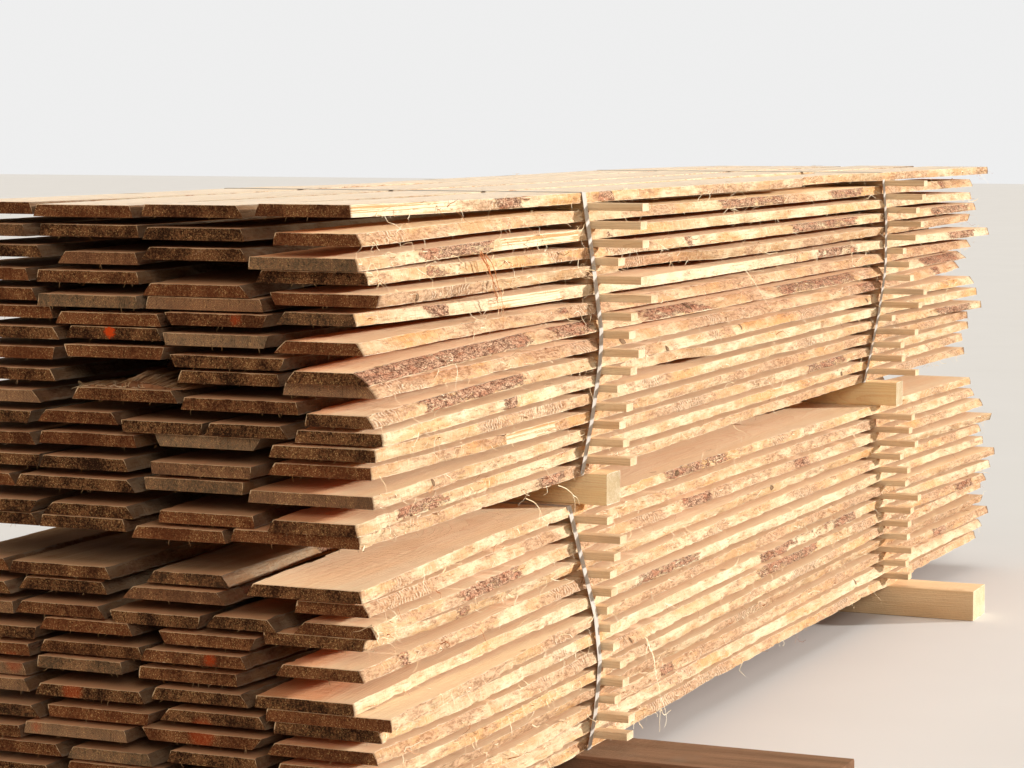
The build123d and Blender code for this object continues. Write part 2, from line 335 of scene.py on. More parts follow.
# The pale rim of a board's end, partly frayed fibres and partly a painted highlight that is
# stronger on the upper half: its width, its share in height, how far the end is sunk, and how pale
# it is on the lower half
RIM_WIDTH = 0.006
RIM_SHARE = 0.84
END_SINK = 0.0008
LOW_RIM = 0.25


def edge_relief(rng, x, t, bark, knots):
    """How far a bark edge stands in or out, in metres, and the knots' mask."""
    relief = sum(height * sheet_noise(rng, x, t, length, cells_across)
                 for height, length, cells_across in RELIEF)
    plates = ramp(sheet_noise(rng, x, t, 0.022, 3), -0.3, 0.0)
    relief = relief + bark * (0.0010 + 0.0042 * plates)
    mask = np.zeros_like(relief)
    for place, across, size in knots:
        dx = (x[:, None] - place) / size
        dt = (t[None, :] - across) / 0.55
        lump = np.exp(-(dx**2 + dt**2) * 1.6)
        relief = relief + KNOT_HEIGHT * lump
        mask = np.maximum(mask, lump)
    return relief, mask


def arris_of(points, column):
    """A board's low right (1) or low left (2) arris as a function of x."""
    rows = board_stations(points)
    return lambda x: smooth_interp(x, rows[:, 0], rows[:, column])


def add_board(builder, points, rng, style, layer, above):
    """One board as a closed mesh through the stations of its CAD solid.

    above gives the lower arrises of the layer above, right and left, along x, or a fixed
    width that lies open on both sides.
    """
    on_right = style is RIGHT_STYLE
    on_left = style is LEFT_STYLE
    bark_runs = BARK_RUNS.get(layer, ()) if on_right else ()
    clean_runs = CLEAN_RUNS.get(layer, ()) if on_right else ()
    open_top_layer = layer == "U1"
    rows = board_stations(points)
    x = style.places(rows[0, 0], rows[-1, 0])
    count = len(x)
    low_right, low_left, high_right, high_left, floor = [
        smooth_interp(x, rows[:, 0], rows[:, k]) for k in range(1, 6)]
    depth = ramp(x - x[0], 0, FADE) * ramp(x[-1] - x, 0, FADE)
    place = x - BOARD_END
    clean = np.zeros(count)
    for begin, finish in clean_runs:
        inside = ramp(place, begin - 0.03, begin + 0.03) * ramp(finish - place, -0.03, 0.03)
        clean = np.maximum(clean, inside)

    # The edge follows the trunk's own waves, and its arrises wander and are nicked
    def arris():
        swing = waves(rng, x, ARRIS_WAVES)
        nick = ramp(line_noise(rng, x, 0.035), 0.45, 0.9) * NICK_DEPTH
        return (swing - nick) * depth - ARRIS_INSET

    right_waves = waves(rng, x, EDGE_WAVES) * depth
    left_waves = waves(rng, x, EDGE_WAVES) * depth
    low_right = low_right - right_waves - arris() * (1 - 0.7 * clean)
    high_right = high_right - right_waves - arris() * (1 - 0.7 * clean)
    low_left = low_left + left_waves + arris()
    high_left = high_left + left_waves + arris()

    edges = []
    for right, parts in ((False, style.left_parts), (True, style.right_parts)):
        t = np.arange(parts) / parts
        start, end = (high_right, low_right) if right else (low_left, high_left)
        bark = ramp(line_noise(rng, x, 0.45), 0.90, 0.97)
        for begin, finish, amount in bark_runs if right else ():
            inside = ramp(place, begin - 0.05, begin + 0.05) if begin > 0 else 1.0
            bark = np.maximum(bark, inside * ramp(finish - place, -0.08, 0.08) * amount)
        knots = [(rng.uniform(x[0] + 0.1, x[-1] - 0.1), rng.uniform(0.25, 0.75),
                  rng.uniform(0.012, 0.026)) for _ in range(rng.poisson(KNOTS_ON_EDGE))]
        ragged = 0.55 + 0.5 * sheet_noise(rng, x, t, 0.06, 2) + 0.4 * (0.6 - t)[None, :]
        bark = np.clip(bark[:, None] * (0.75 + 0.5 * ragged), 0, 1)
        relief, knot = edge_relief(rng, x, t, bark, knots)
        convex = (0.0016 + 0.05 * np.abs(end - start)[:, None]) * 4 * (t * (1 - t))[None, :]
        lip = np.minimum(1, 4 * t)[None, :]
        out = (relief * (0.25 + 0.75 * lip) + convex) * (0.35 + 0.65 * depth)[:, None]
        if right:
            out = -out * (1 - 0.85 * clean)[:, None]
            bark = bark * (1 - clean)[:, None]
        edges.append((start[:, None] + (end - start)[:, None] * t[None, :] + out, bark, knot))
    (left_y, left_bark, left_knot), (right_y, right_bark, right_knot) = edges

    # Each station is a ring: low face from the right, left edge up, high face, right edge down
    sides = (style.face_parts, style.left_parts, style.face_parts, style.right_parts)
    starts = np.cumsum((0, *sides[:3]))
    ring = sum(sides)
    across, up, _, down = [np.arange(parts) / parts for parts in sides]

    def around(*values):
        return np.concatenate([np.broadcast_to(value, (count, parts))
                               for value, parts in zip(values, sides)], axis=1)

    low = low_right[:, None] + (low_left - low_right)[:, None] * across
    high = high_left[:, None] + (high_right - high_left)[:, None] * across
    ys = around(low, left_y, high, right_y)
    zs = floor[:, None] + around(0, MESH_THICK * up, MESH_THICK, MESH_THICK * (1 - down))
    verts = np.stack([np.repeat(x[:, None], ring, 1), ys, zs], -1).reshape(-1, 3)

    # How far a point of the faces lies in from the open edge, and how much of it lies open; past
    # that the sawn faces get painted shade
    width = (high_left - high_right)[:, None]
    inward = around(1, -MESH_THICK * (1 - up), width * (across if on_left else 1 - across),
                    -MESH_THICK * down)
    if on_left:
        inward[:, starts[3]] = width[:, 0]
    if not isinstance(above, tuple):
        cover = np.full(count, above)
    elif on_left:
        cover = high_left - above[1](x) + SUN_REACH
    elif on_right:
        cover = above[0](x) - high_right + SUN_REACH
    else:
        cover = np.full(count, NO_SUN)
    inward = inward - np.clip(cover, NO_SUN, ALL_OPEN)[:, None]
    # Painted highlight along the arrises, laid on in the bark edge material
    lip = np.zeros((count, ring))
    lip[:, starts] = 1
    square = around(0, 0, 0, clean[:, None])
    square[:, 0] = clean
    # The top layer's upper face: partly sun-bleached and partly painted light
    bleach = np.zeros((count, ring))
    if open_top_layer:
        bleach[:, starts[2]:starts[3] + 1] = 1
    # Boards behind the right-hand row are browner toward their ends, the near ones most: partly
    # weathering and partly painted shade
    reach, far_reach = (0.006, 0.006) if on_right else (0.9, 0.3)
    aged = np.maximum(np.exp(-(x - x[0]) / reach), np.exp(-(x[-1] - x) / far_reach))

    sawn = SAWN if open_top_layer or on_right else INNER_SAWN
    kinds = np.tile(np.repeat([sawn, BARK_EDGE, sawn, BARK_EDGE], sides), count - 1)
    verts, ends, rim = close_ends(
        verts, ring, 0, END_SINK, lambda loop: (1, 1 - RIM_WIDTH / np.ptp(loop[:, 1]), RIM_SHARE),
        turned=-1, low_rim=LOW_RIM)

    def whole(values):
        """Values along the board, and zeros for its flat ends."""
        values = np.broadcast_to(values, (count, ring))
        return np.concatenate([values.ravel(), np.zeros(2 * ring)])

    crown = high_left.mean() - high_right.mean() < low_left.mean() - low_right.mean()
    pith_depth = rng.uniform(0.02, 0.09)
    pith = (0, float((low_right + low_left).mean() / 2) + rng.uniform(-0.03, 0.03),
            float(floor.mean()) + (-pith_depth if crown else MESH_THICK + pith_depth))
    builder.add(verts, [ring_quads(count, ring), *ends],
                np.concatenate([kinds, [END] * (2 * ring + 2)]),
                pith=pith, seed=rng.uniform(-50, 50, 3), tone=rng.uniform(0, 1),
                fresh=rng.uniform(0, 1), bark=whole(around(0, left_bark, 0, right_bark)),
                knot=whole(around(0, left_knot, 0, right_knot)), aged=whole(aged[:, None]),
                rim=rim, bleach=whole(bleach), tucked=whole(inward), square=whole(square),
                lip=whole(lip), behind=whole(np.minimum(x - x[0], x[-1] - x)[:, None]))
    return x, high_right, high_left, floor, right_y


def add_ribbon(builder, path, width, across, tone, aged=0):
    """A thin strip of bast or a splinter along a path, lying flat across a direction."""
    path = np.asarray(path, float)
    n = len(path)
    side = np.cross(np.gradient(path, axis=0), across)
    side /= np.maximum(np.linalg.norm(side, axis=1), 1e-9)[:, None]
    half = (width / 2 * np.linspace(1, 0.35, n))[:, None]
    verts = np.concatenate([path - side * half, path + side * half])
    verts = np.clip(verts, cad_bounds[0] + CLEARANCE, cad_bounds[1] - CLEARANCE)
    i = np.arange(n - 1)
    quads = np.stack([i, i + 1, n + i + 1, n + i], -1)
    builder.add(verts, [quads], [FIBRE] * (n - 1), tone=tone, aged=aged)


def curl(rng, start, direction, length, bend, droop, parts=5):
    """A path that leaves a point, bends at random and droops."""
    step = length / parts
    path = [np.array(start, float)]
    way = np.array(direction, float)
    way /= np.linalg.norm(way)
    for _ in range(parts):
        path.append(path[-1] + way * step)
        way = way + rng.normal(0, bend, 3)
        way[2] -= droop
        way /= np.linalg.norm(way)
    return path


FIBRES = 120                # curls of bast on each right-hand edge
FRAY_SPACING = 0.02         # between the splinters round a near end


def add_fibres(builder, rng, x, faces, floor):
    """Curls of bast on a right-hand bark edge, most of them in tufts."""
    parts = faces.shape[1]
    tufts = rng.uniform(x[0], x[-1], 9)
    for _ in range(FIBRES):
        if rng.uniform() < 0.6:
            place = rng.choice(tufts) + rng.normal(0, 0.06)
        else:
            place = rng.uniform(x[0], x[-1])
        place = min(max(place, x[0] + 0.01), x[-1] - 0.05)
        i = int(np.searchsorted(x, place)) - 1
        j = rng.integers(0, parts)
        start = (x[i], faces[i, j] + 0.0005, floor[i] + THICK * (1 - j / parts))
        way = (rng.normal(0, 1), -rng.uniform(0.1, 0.7), rng.normal(-0.3, 0.8))
        length = rng.uniform(0.012, 0.034) if rng.uniform() < 0.75 else rng.uniform(0.035, 0.075)
        path = curl(rng, start, way, length, 0.55, 0.12)
        add_ribbon(builder, path, rng.uniform(0.0012, 0.0032), (0, -1, 0.3), rng.uniform(0, 1))


def add_fray(builder, rng, x, right, left, floor):
    """Splinters and whiskers round the near end of a board."""
    for _ in range(int((left - right) / FRAY_SPACING)):
        upper = rng.uniform() < 0.7
        height = floor + THICK - 0.0006 if upper else floor + 0.0006
        start = (x + 0.001, rng.uniform(right, left), height)
        way = (-rng.uniform(0.2, 1.0), rng.normal(0, 0.6), -rng.uniform(0.4, 1.5))
        length = rng.uniform(0.003, 0.008 if upper else 0.014)
        path = curl(rng, start, way, length, 0.35, 0.3, 3)
        add_ribbon(builder, path, rng.uniform(0.0006, 0.0013), (-1, 0, 0.3), rng.uniform(0, 1), 1)


BAR_END_SHARE = (0.9, 1, 0.9)
BAR_END_SINK = 0.0006


def add_bar(builder, points, rng, step, worn, wobble):
    """A sawn bar lying across the stack, from the eight or more corners of its CAD solid."""
    centre = (points.min(0) + points.max(0)) / 2
    ends = [points[points[:, 1] < centre[1]], points[points[:, 1] > centre[1]]]
    middles = [end[:, 0].min() / 2 + end[:, 0].max() / 2 for end in ends]
    lengths = [float(np.mean([end[:, 1].min(), end[:, 1].max()])) for end in ends]
    skew = (middles[1] - middles[0]) / (lengths[1] - lengths[0])
    half_x = np.ptp(ends[0][:, 0]) / 2
    half_z = np.ptp(points[:, 2]) / 2
    # The corners of a skewed bar stand further apart than the bar is wide
    first = ends[0][:, 1].min() + abs(skew) * half_x
    last = ends[1][:, 1].max() - abs(skew) * half_x
    length = ends[1][:, 1].max() - ends[0][:, 1].min()
    count = max(int(length / step), 6)
    y = np.linspace(first, last, count)
    cut = 0.3 * worn
    half = np.array([
        (-half_x + worn, -half_z), (-half_x / 3, -half_z), (half_x / 3, -half_z),
        (half_x - worn, -half_z), (half_x - cut, -half_z + cut), (half_x, -half_z + worn),
        (half_x, 0), (half_x, half_z - worn), (half_x - cut, half_z - cut)])
    profile = np.concatenate([half, -half])
    px = profile[None, :, 0]
    pz = profile[None, :, 1]
    ring = len(profile)
    dent = sheet_noise(rng, y, np.linspace(0, 1, ring), 0.06, 9) * wobble - wobble
    corner = (np.abs(px) > half_x - 1.01 * worn) & (np.abs(pz) > half_z - 1.01 * worn)
    verts = np.stack([
        centre[0] + skew * (y[:, None] - centre[1]) + px
        + np.sign(px) * dent * (np.abs(px) > half_x * 0.9),
        y[:, None] - skew * px,
        centre[2] + pz + np.sign(pz) * np.where(corner, dent, 0)], -1).reshape(-1, 3)
    quads = ring_quads(count, ring)[:, ::-1]
    verts, caps, rim = close_ends(verts, ring, 1, BAR_END_SINK, lambda loop: BAR_END_SHARE,
                                  turned=1, low_rim=1)
    pith = (centre[0] + rng.uniform(-0.5, 0.5) * half_x, 0,
            centre[2] + rng.uniform(-2.5, 2.5) * half_z)
    builder.add(verts, [quads, *caps], [SAWN] * len(quads) + [END] * (2 * ring + 2),
                pith=pith, seed=rng.uniform(-50, 50, 3), tone=rng.uniform(0, 1),
                fresh=rng.uniform(0, 1), rim=rim)


# Materials

# Shader nodes: each function adds to the node tree that its first socket belongs to

def connect(socket, value):
    """Joins another socket to a socket, or gives it a value."""
    if isinstance(value, bpy.types.NodeSocket):
        socket.id_data.links.new(value, socket)
    else:
        socket.default_value = (*value, 1) if socket.type == "RGBA" else value


def add_node(node_tree, kind, inputs, **settings):
    """A node with its settings and its inputs, by name or place."""
    node = node_tree.nodes.new("ShaderNode" + kind)
    for name, value in settings.items():
        setattr(node, name, value)
    for key, value in inputs.items():
        connect(node.inputs[key], value)
    return node


def calc(operation, *values):
    inputs = dict(enumerate(values))
    return add_node(values[0].id_data, "Math", inputs, operation=operation).outputs[0]


def times(a, b):
    return calc("MULTIPLY", a, b)


def plus(a, b):
    return calc("ADD", a, b)


def swing(value, amount):
    """A value between 0 and 1 as a swing about zero."""
    return times(calc("SUBTRACT", value, 0.5), amount)


def total(*terms):
    """The sum of values with their weights."""
    result = times(*terms[0])
    for value, weight in terms[1:]:
        result = plus(result, times(value, weight))
    return result


def vector_calc(operation, a, b):
    node = add_node(a.id_data, "VectorMath", {0: a, 1: b}, operation=operation)
    return node.outputs["Value" if operation == "DISTANCE" else "Vector"]


def noise(vector, scale, detail, roughness=0.55):
    return add_node(vector.id_data, "TexNoise", {
        "Vector": vector, "Scale": scale, "Detail": detail, "Roughness": roughness}).outputs["Fac"]


def streaks(vector, stretch, detail=2, roughness=0.5):
    """Noise with about as many waves a metre along each axis as the stretch says."""
    return noise(vector_calc("MULTIPLY", vector, stretch), 1.0, detail, roughness)


def voronoi(vector, scale, feature="F1"):
    return add_node(vector.id_data, "TexVoronoi", {"Vector": vector, "Scale": scale},
                    feature=feature).outputs["Distance"]


def span(value, low, high, to_low=0.0, to_high=1.0):
    return add_node(value.id_data, "MapRange", {
        "Value": value, "From Min": low, "From Max": high, "To Min": to_low, "To Max": to_high},
        interpolation_type="SMOOTHSTEP").outputs["Result"]


def mix(factor, a, b, blend="MIX"):
    node = add_node(factor.id_data, "Mix", {}, data_type="RGBA", blend_type=blend)
    sockets = [socket for socket in node.inputs if socket.type == "RGBA"]
    for socket, value in zip((node.inputs["Factor"], *sockets), (factor, a, b)):
        connect(socket, value)
    return next(socket for socket in node.outputs if socket.type == "RGBA")


def split(vector):
    return add_node(vector.id_data, "SeparateXYZ", {0: vector}).outputs


class Tree:
    """A material in the making, with the colour laid on so far."""

    def __init__(self, name, roughness, specular):
        self.material = bpy.data.materials.new(name)
        self.material.use_nodes = True
        self.node_tree = self.material.node_tree
        self.shader = self.node_tree.nodes["Principled BSDF"]
        self.shader.inputs["Roughness"].default_value = roughness
        self.shader.inputs["Specular IOR Level"].default_value = specular
        self.color = None

    def attribute(self, name, output="Fac"):
        return add_node(self.node_tree, "Attribute", {}, attribute_name=name).outputs[output]

    def place(self):
        return add_node(self.node_tree, "TexCoord", {}).outputs["Object"]

    def coat(self, factor, color, amount=None, blend="MIX"):
        """Lays a colour over the colour so far."""
        factor = factor if amount is None else times(factor, amount)
        self.color = mix(factor, self.color, color, blend)

    def finish(self, height=None, strength=1.0, distance=0.001):
        """Gives the shader the colour so far, and a bump of a height."""
        connect(self.shader.inputs["Base Color"], self.color)
        if height is not None:
            bump = add_node(self.node_tree, "Bump", {
                "Strength": strength, "Distance": distance, "Height": height})
            connect(self.shader.inputs["Normal"], bump.outputs["Normal"])
        return self.material


def rgb(red, green, blue):
    """A colour given as it looks on a screen, from 0 to 255."""
    def linear(c):
        c /= 255
        return c / 12.92 if c <= 0.04045 else ((c + 0.055) / 1.055) ** 2.4
    return (linear(red), linear(green), linear(blue))


def turned(along, first, second, third):
    """Factors for a piece that lies along X, with the first two swapped for one along Y."""
    return (first, second, third) if along == "X" else (second, first, third)


def growth_rings(tree, place, along, spacing):
    """The piece's own noise place, and how late in its yearly ring a point lies.

    Rings go by the distance from the pith, so that faces, edges and ends share their grain.
    """
    moved = vector_calc("ADD", place, tree.attribute("seed", "Vector"))
    drift = streaks(moved, turned(along, 0.9, 2.5, 2.5), 2, 0.55)
    offset = split(vector_calc("SUBTRACT", place, tree.attribute("pith", "Vector")))
    a = plus(offset["Y" if along == "X" else "X"], swing(drift, 0.10))
    b = plus(offset["Z"], swing(drift, 0.16))
    radius = calc("SQRT", plus(times(a, a), times(b, b)))
    wobble = times(noise(moved, 14, 2), 0.006)
    turns = calc("DIVIDE", plus(radius, wobble), spacing)
    return moved, calc("POWER", calc("FRACT", turns), 3.0)


def sawn_face(name, along, pale, tan, grain, grey, stained=0.25, fuzz=0.5, painted_shade_strength=0.0):
    """A rough sawn face: growth rings cut along, fibre streaks, saw marks, knots and dirt."""
    tree = Tree(name, roughness=0.85, specular=0.04)
    tree.shader.inputs["Sheen Weight"].default_value = fuzz
    tree.shader.inputs["Sheen Roughness"].default_value = 0.35
    tree.shader.inputs["Sheen Tint"].default_value = (1.0, 0.70, 0.42, 1)
    moved, late = growth_rings(tree, tree.place(), along, 0.0055)
    streak = streaks(moved, turned(along, 5, 260, 260), 3, 0.6)
    patch = streaks(moved, turned(along, 1.1, 16, 16), 3, 0.6)
    stain = noise(moved, 3.2, 4, 0.6)
    bleach = tree.attribute("bleach")
    tree.color = mix(span(patch, 0.3, 0.7), pale, tan)
    tree.coat(times(tree.attribute("tone"), 0.45), tan)
    tree.coat(late, grain, 0.32)
    tree.coat(span(streak, 0.45, 0.8, 0, 0.42), grain)
    tree.coat(span(stain, 0.55, 0.75, 0, stained), grey)
    # Painted shade: deep orange where another board covers the face and the sun doesn't reach it,
    # and brown toward the ends
    painted_shade = plus(tree.attribute("tucked"), times(patch, 0.02))
    tree.coat(span(painted_shade, 0.0, 0.05, 0, painted_shade_strength), rgb(222, 134, 74))
    # Toward the ends, partly weathering and partly painted light and shade: pale just at the end,
    # where light catches it, and dark deeper in under the board above
    aged = times(tree.attribute("aged"), span(patch, 0.2, 0.6, 0.75, 1.0))
    behind = plus(tree.attribute("behind"), times(patch, 0.016))
    weather_and_painted_shade = mix(span(behind, 0.010, 0.100), rgb(228, 178, 136), rgb(104, 62, 38))
    tree.coat(aged, weather_and_painted_shade, 0.9)
    # Grey-white where the face lies open to the sky, with its late rings still warm: partly
    # sun-bleached wood and partly painted light
    faded_and_lit = mix(span(streak, 0.35, 0.7), rgb(234, 233, 228), rgb(212, 204, 190))
    tree.coat(bleach, faded_and_lit, 0.88)
    tree.coat(times(times(late, bleach), 0.28), rgb(212, 184, 150))
    # Knots, darker than the wood round them
    cell = voronoi(vector_calc("MULTIPLY", moved, turned(along, 2.4, 5.5, 0.01)), 1.0)
    tree.coat(span(cell, 0.03, 0.06, 0.6, 0), rgb(158, 108, 70), blend="MULTIPLY")
    marks = noise(vector_calc("MULTIPLY", moved, turned(along, 1, 0.05, 1)), 150, 1)
    return tree.finish(total((streak, 0.8), (marks, 0.5), (late, 0.2)), 1.0, 0.003)


def bark_edge(name):
    """The bark side of a board: peeled sapwood with bast, feed marks, blotches and bark."""
    tree = Tree(name, roughness=0.88, specular=0.04)
    moved = vector_calc("ADD", tree.place(), tree.attribute("seed", "Vector"))
    tone, bark, knot, aged = map(tree.attribute, ("tone", "bark", "knot", "aged"))
    stretch = streaks(moved, (1.7, 2, 7))
    other = streaks(moved, (2.6, 3, 5))
    broad = streaks(moved, (6, 12, 24), 3, 0.6)
    blotch = streaks(moved, (11, 36, 52), 4, 0.70)
    fine = streaks(moved, (52, 120, 165), 4, 0.72)
    fibre = streaks(moved, (18, 240, 300), 3, 0.65)
    upright = streaks(moved, (330, 60, 40), 2, 0.6)
    # Sapwood, from pale cream to tan, and orange in some stretches
    tree.color = mix(span(broad, 0.38, 0.62), rgb(246, 220, 180), rgb(220, 178, 132))
    tree.coat(span(tone, 0.55, 1.0, 0, 0.35), rgb(198, 146, 100))
    tree.coat(span(tone, 0.35, 0.0, 0, 0.45), rgb(252, 232, 196))
    orange = times(span(stretch, 0.56, 0.64), span(blotch, 0.34, 0.5))
    tree.coat(orange, rgb(228, 166, 98), 0.6)
    tree.coat(span(fibre, 0.5, 0.7, 0, 0.55), rgb(168, 116, 72))
    tree.coat(span(upright, 0.56, 0.70, 0, 0.28), rgb(160, 112, 72))
    tree.coat(span(upright, 0.30, 0.44, 0.45, 0), rgb(255, 240, 208))
    # Pink-brown inner bark that the peeler left, in blotches
    left_on = plus(total((blotch, 0.5), (other, 0.5)), swing(tone, 0.10))
    skin = mix(span(fine, 0.36, 0.62), rgb(156, 110, 80), rgb(222, 180, 144))
    tree.coat(times(span(left_on, 0.505, 0.58), 0.78), skin)
    # Short rows of notches that a feed roller pressed across the edge
    drift = streaks(moved, (9, 20, 60))
    turns = total((split(moved)["X"], 66.0), (drift, 2.6))
    phase = calc("ABSOLUTE", calc("SUBTRACT", calc("FRACT", turns), 0.5))
    gaps = streaks(moved, (30, 60, 90), 2, 0.6)
    rows = times(span(other, 0.60, 0.67), span(gaps, 0.60, 0.42))
    rows = times(rows, span(aged, 0.3, 0.0))
    notch = times(span(phase, 0.05, 0.18, 1, 0), rows)
    ridge = times(span(phase, 0.30, 0.42), rows)
    tree.coat(notch, rgb(160, 110, 74), 0.38)
    tree.coat(ridge, rgb(255, 240, 212), 0.5)
    # Stretches sawn square: pale, with fine ring lines along them
    lines = streaks(moved, (1.2, 90, 330))
    sawn = mix(span(lines, 0.50, 0.60), rgb(250, 228, 192), rgb(214, 162, 110))
    sawn = mix(span(fibre, 0.55, 0.72, 0, 0.4), sawn, rgb(200, 150, 100))
    square = plus(tree.attribute("square"), swing(blotch, 0.9))
    square = span(square, 0.42, 0.58)
    tree.coat(square, sawn)
    # Dark flecks
    fleck = times(span(fine, 0.62, 0.72), span(square, 0.0, 1.0, 1.0, 0.2))
    tree.coat(fleck, rgb(142, 96, 64), 0.40)
    # Bark proper: soft scales in pink-brown and tan, with broken cracks
    shake = add_node(tree.node_tree, "CombineXYZ", {
        0: times(fine, 0.030), 1: times(blotch, 0.024), 2: times(upright, 0.020)}).outputs[0]
    spot = vector_calc("MULTIPLY", vector_calc("ADD", moved, shake), (0.6, 1.2, 1.5))
    crack = voronoi(spot, 60, "DISTANCE_TO_EDGE")
    scales = streaks(moved, (160, 220, 300), 3, 0.7)
    plate = mix(span(scales, 0.36, 0.62), rgb(148, 98, 74), rgb(240, 198, 162))
    plate = mix(span(blotch, 0.46, 0.64, 0, 0.6), plate, rgb(208, 138, 104))
    broken = times(span(crack, 0.0, 0.12, 0.8, 0), span(gaps, 0.40, 0.56))
    plate = mix(broken, plate, rgb(98, 60, 45))
    plate = mix(span(scales, 0.34, 0.26, 0, 0.4), plate, rgb(74, 44, 32))
    ragged = plus(plus(bark, swing(blotch, 1.7)), swing(fine, 1.2))
    on = times(span(ragged, 0.44, 0.56), span(bark, 0.02, 0.12))
    tree.coat(on, plate)
    # Painted highlight: a pale band along the arrises, where light catches them
    torn = plus(tree.attribute("lip"), swing(gaps, 1.4))
    tree.coat(span(torn, 0.62, 1.0, 0, 0.65), rgb(255, 240, 210))
    # Branch stubs
    ring = calc("ABSOLUTE", calc("SUBTRACT", knot, 0.62))
    stub = mix(span(ring, 0.0, 0.18, 0.8, 0), rgb(150, 120, 92), rgb(92, 64, 44))
    tree.coat(span(knot, 0.4, 0.62), stub)
    # Browner toward the ends on the boards behind the right-hand row: partly weathering and partly
    # painted shade
    tree.coat(aged, rgb(86, 56, 38), 0.85)
    height = total((blotch, 1.0), (fine, 0.9), (notch, -0.5), (ridge, 0.2), (fibre, 0.35),
                   (upright, 0.35), (times(scales, on), 1.0), (times(broken, on), -0.7))
    return tree.finish(height, 1.0, 0.005)


# Paint marks on board ends: places across and up, radius in metres and strength
PAINT_MARKS = [
    (0.080, 1.2235, 0.016, 1.0),
    (-0.231, 1.2602, 0.020, 0.35),
    (-0.163, 0.539, 0.024, 0.45),
    (0.338, 0.491, 0.030, 0.26),
    (0.178, 0.444, 0.034, 0.3),
    (0.2685, 0.357, 0.022, 0.32),
    (-0.132, 0.375, 0.040, 0.28),
]
PAINT_END = -2.556


def end_grain(name, along, dark, brown, rust, gold, rim_color, paint=()):
    """A sawn end, browned by weather: rings, saw lines, stains and a pale rim, partly frayed
    fibres and partly painted highlight.
    """
    tree = Tree(name, roughness=0.88, specular=0.04)
    place = tree.place()
    moved, late = growth_rings(tree, place, along, 0.0042)
    fresh = tree.attribute("fresh")
    blotch = noise(moved, 16, 4, 0.65)
    speck = noise(moved, 170, 4, 0.75)
    grit = noise(moved, 330, 2, 0.75)
    saw = streaks(moved, turned(along, 1, 300, 16), 3, 0.65)
    mottle = total((blotch, 0.5), (speck, 0.5))
    tree.color = mix(span(mottle, 0.41, 0.59), dark, brown)
    tree.coat(times(span(tree.attribute("tone"), 0.3, 1.0), 0.45), rust)
    tree.coat(span(fresh, 0.8, 1.0, 0, 0.25), rim_color)
    tree.coat(late, dark, 0.35)
    tree.coat(span(saw, 0.52, 0.75, 0, 0.5), dark)
    tree.coat(span(speck, 0.54, 0.66, 0, 0.6), brown)
    tree.coat(times(span(fresh, 0.0, 0.4, 0.35, 0), span(mottle, 0.64, 0.42)), dark)
    tree.coat(span(speck, 0.32, 0.44, 0.65, 0), dark)
    glint = times(span(grit, 0.56, 0.67), span(blotch, 0.35, 0.62, 0.15, 0.85))
    tree.coat(glint, gold)
    # Pale rim: partly frayed fibres and partly painted highlight, stronger on the upper half
    frayed_and_lit_rim = plus(tree.attribute("rim"), swing(speck, 1.0))
    frayed_and_lit_rim = plus(frayed_and_lit_rim, swing(blotch, 2.0))
    tree.coat(span(frayed_and_lit_rim, 0.42, 0.80, 0, 0.95), rim_color)
    for y, z, radius, strength in paint:
        away = vector_calc("DISTANCE", place, (PAINT_END, y, z))
        away = plus(away, swing(speck, 0.03))
        tree.coat(span(away, radius * 0.5, radius, strength, 0), rgb(236, 84, 30))
    return tree.finish(total((saw, 0.8), (speck, 0.6), (late, 0.3)), 0.8, 0.002)


def strap_plastic(name):
    tree = Tree(name, roughness=0.7, specular=0.15)
    place = tree.place()
    scuff = streaks(place, (300, 9, 9), 3, 0.6)
    dust = noise(place, 22, 4, 0.6)
    tree.color = mix(span(scuff, 0.4, 0.75), rgb(206, 198, 188), rgb(170, 162, 152))
    tree.coat(span(dust, 0.50, 0.70, 0, 0.5), rgb(170, 146, 116))
    ribs = add_node(tree.node_tree, "TexWave", {"Scale": 130, "Vector": place},
                    bands_direction="DIAGONAL")
    return tree.finish(plus(ribs.outputs["Fac"], scuff), 0.35, 0.0004)


def bast_fibre(name):
    tree = Tree(name, roughness=0.8, specular=0.05)
    place = tree.place()
    tone = tree.attribute("tone")
    vary = span(noise(place, 35, 2), 0.35, 0.65)
    tree.color = mix(vary, rgb(255, 240, 208), rgb(244, 212, 164))
    tree.coat(span(tone, 0.75, 0.95), rgb(186, 122, 78))
    tree.coat(span(tone, 0.94, 1.0), rgb(158, 88, 46))
    # Browner fibres round the ends: partly weathering and partly painted shade
    tree.coat(times(tree.attribute("aged"), 0.8), rgb(170, 120, 74))
    return tree.finish(streaks(place, (500, 500, 60), 2, 0.55), 0.5, 0.0005)


# The boards behind the right-hand row get a shaded copy of the sawn face: painted shade, darker
# and with less sheen
board_face = sawn_face("board_sawn_face", "X", rgb(255, 240, 207), rgb(250, 221, 176),
                       rgb(228, 171, 117), rgb(210, 170, 129), painted_shade_strength=0.85)
shaded_board_face = sawn_face("board_face_shaded_copy", "X", rgb(240, 208, 162), rgb(222, 176, 124),
                       rgb(188, 126, 76), rgb(170, 128, 92), fuzz=0.15, painted_shade_strength=0.85)
board_edge = bark_edge("board_bark_edge")
board_end = end_grain("board_end", "X", rgb(52, 31, 20), rgb(144, 96, 62), rgb(158, 88, 52),
                      rgb(236, 188, 124), rgb(252, 214, 168), PAINT_MARKS)
sticker_face = sawn_face("sticker_sawn_face", "Y", rgb(250, 226, 188), rgb(232, 198, 156),
                         rgb(196, 150, 106), rgb(184, 160, 134), 0.5, 0.4)
sticker_end = end_grain("sticker_end", "Y", rgb(220, 184, 142), rgb(242, 216, 178),
                        rgb(232, 200, 158), rgb(248, 228, 196), rgb(250, 234, 206))
